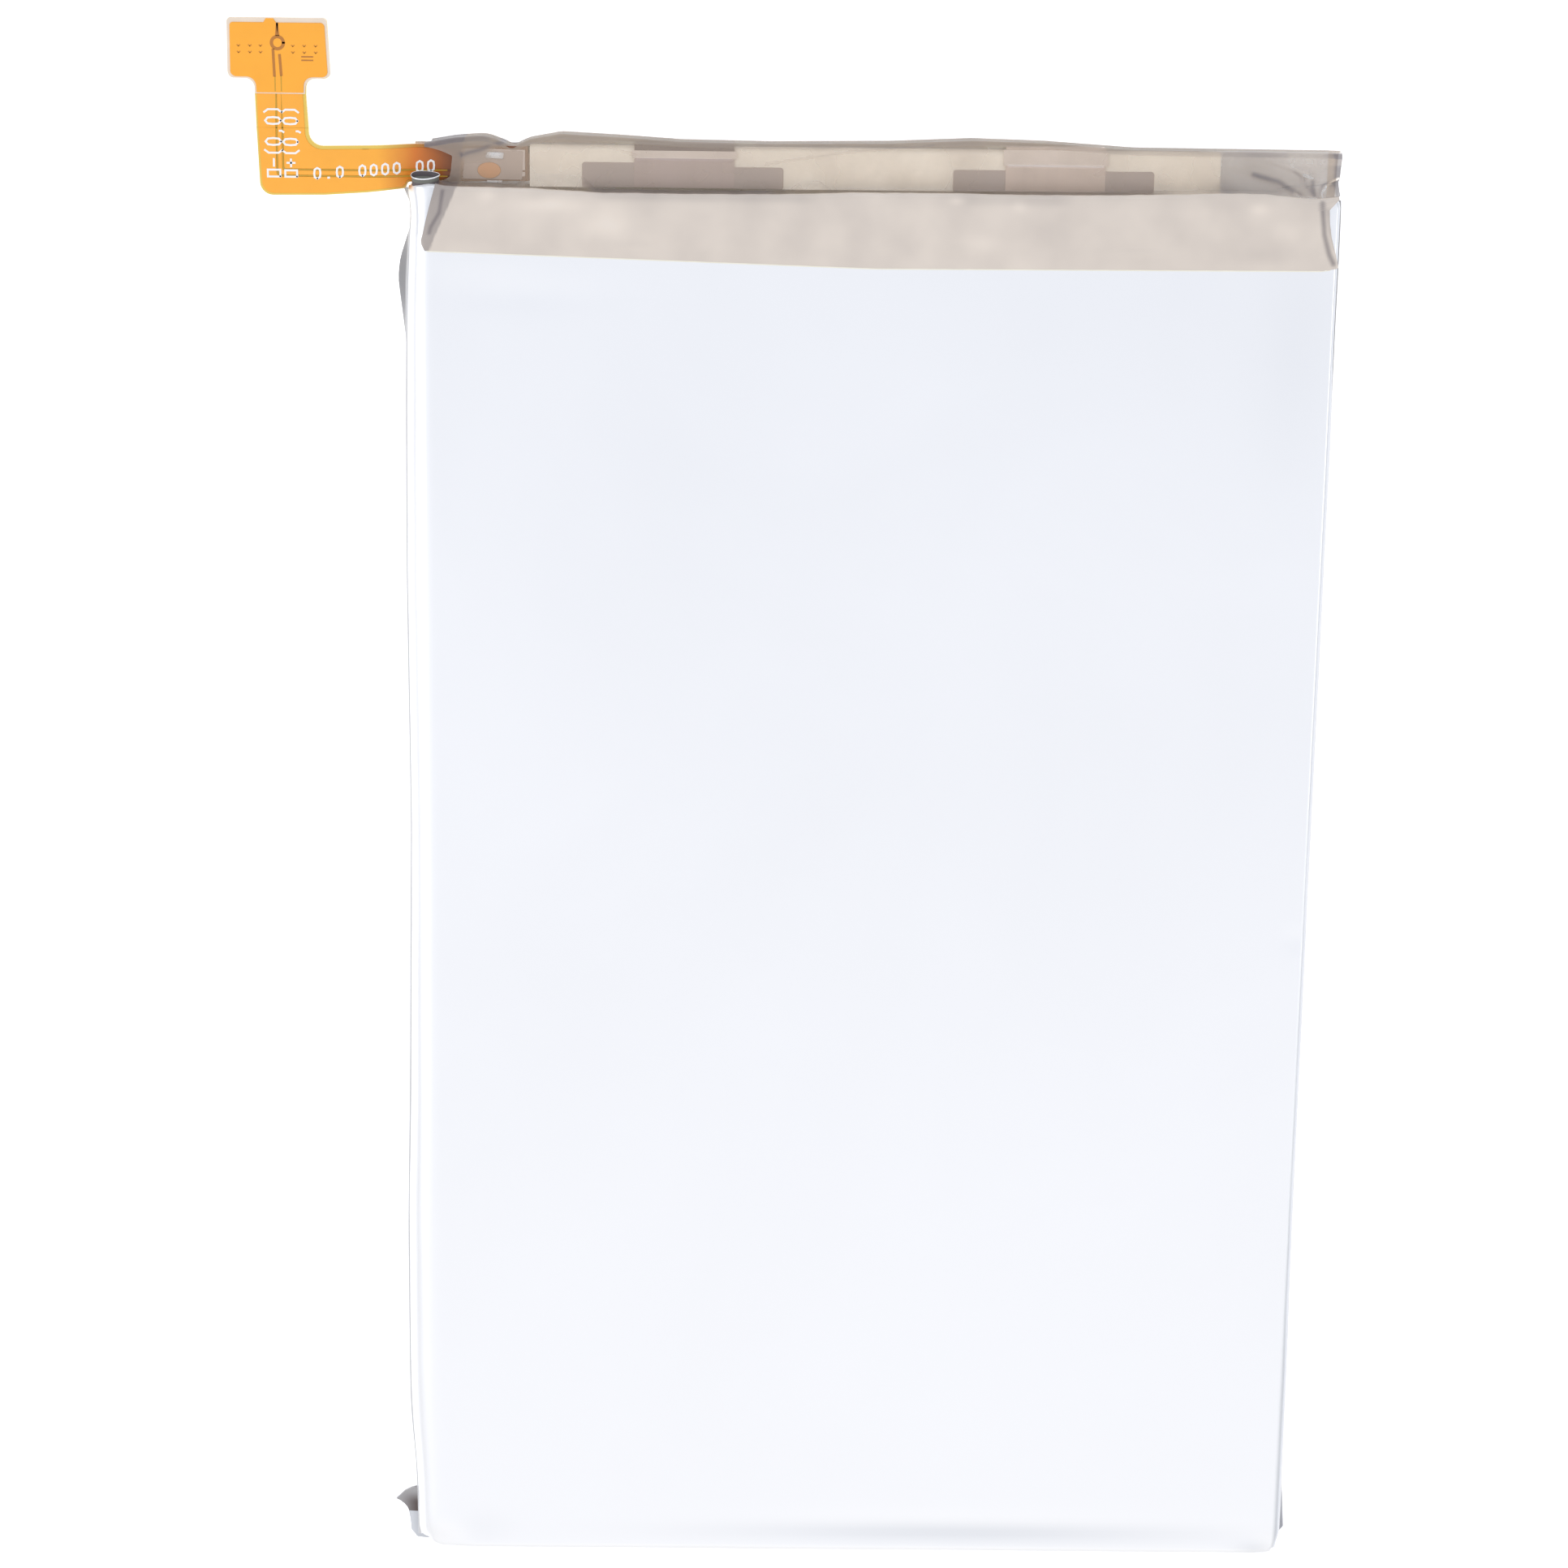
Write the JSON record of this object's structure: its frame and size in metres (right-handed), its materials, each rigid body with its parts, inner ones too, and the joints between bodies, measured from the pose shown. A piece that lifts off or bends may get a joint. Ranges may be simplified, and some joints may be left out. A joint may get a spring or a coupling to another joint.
{
  "type": "lithium polymer pouch battery cell",
  "caption": "Flat silver lithium pouch cell with a taped protection circuit end and an L-shaped flexible printed tail ending in a small board-to-board plug.",
  "frame": {"origin": "centre of the cup, on the plane of the rear label that the pack lies on", "axes": "+X across the pack, away from the tail; +Y along the pack, towards the protection circuit end; +Z from the rear label to the front face"},
  "size_m": [0.0719, 0.105, 0.0047],
  "materials": {
    "laminate": "satin silver pouch laminate",
    "laminate_back": "satin silver pouch laminate",
    "anode": "matt graphite coat on copper foil",
    "cathode": "matt oxide coat on aluminium foil",
    "separator": "matt white film",
    "end_tape": "green film tape",
    "tab_tape": "amber polyimide tape",
    "positive_tab": "bare aluminium strip",
    "negative_tab": "nickel-plated strip",
    "tab_film": "translucent sealing film",
    "pad": "soft black foam tape",
    "board": "green glass-fibre board",
    "nickel": "nickel strip",
    "paper": "cream insulating paper",
    "black_chip": "moulded black package",
    "tin": "tinned metal",
    "ceramic_chip": "tan ceramic chip",
    "wrap": "glossy translucent tape",
    "label": "plain white film label",
    "film": "orange polyimide base film",
    "cover": "glossy orange polyimide cover film",
    "copper": "copper foil",
    "stiffener": "light orange polyimide plate",
    "housing": "moulded black liquid-crystal polymer",
    "gold": "gold-plated contact"
  },
  "bodies": {
    "cell": {"pouch_front_sheet": "laminate", "pouch_back_sheet": "laminate_back", "anode_foil": "anode", "cathode_foil": "cathode", "inner_separator": "separator", "outer_separator": "separator", "roll_end_tape": "end_tape", "tab_insulation_tapes": "tab_tape", "positive_tab": "positive_tab", "negative_tab": "negative_tab", "positive_tab_film": "tab_film", "negative_tab_film": "tab_film", "terrace_pad": "pad", "circuit_board": "board", "positive_weld_plate": "nickel", "negative_weld_plate": "nickel", "insulation_paper": "paper", "mosfet": "black_chip", "protection_ic": "black_chip", "sense_resistor": "black_chip", "thermal_fuse": "tin", "thermistor": "ceramic_chip", "chip_capacitors": "ceramic_chip", "chip_resistors": "black_chip", "flex_solder_joints": "tin", "wrap_tape": "wrap", "rear_label": "label", "flex_root_base": "film", "flex_root_copper": "copper", "flex_root_coverlay": "cover"},
    "flex_tail": {"flex_tail_base": "film", "flex_tail_copper": "copper", "flex_tail_coverlay": "cover"},
    "connector_head": {"flex_head_base": "film", "flex_head_copper": "copper", "flex_head_coverlay": "cover", "head_stiffener": "stiffener", "connector_housing": "housing", "connector_power_contacts": "gold", "connector_signal_contacts": "gold", "connector_anchors": "tin"}
  },
  "joints": [
    {"name": "flex_tail_bend", "type": "hinge", "parent": "cell", "child": "flex_tail", "pos_m": [-0.0306, 0.0487, 0.00267], "axis": [0, 1, 0], "range_deg": [-90, 90], "stiffness_Nm_per_rad": 0.0001},
    {"name": "connector_head_bend", "type": "hinge", "parent": "flex_tail", "child": "connector_head", "pos_m": [-0.0378, 0.052, 0.003], "axis": [1, 0, 0], "range_deg": [-90, 90], "stiffness_Nm_per_rad": 0.0001}
  ]
}
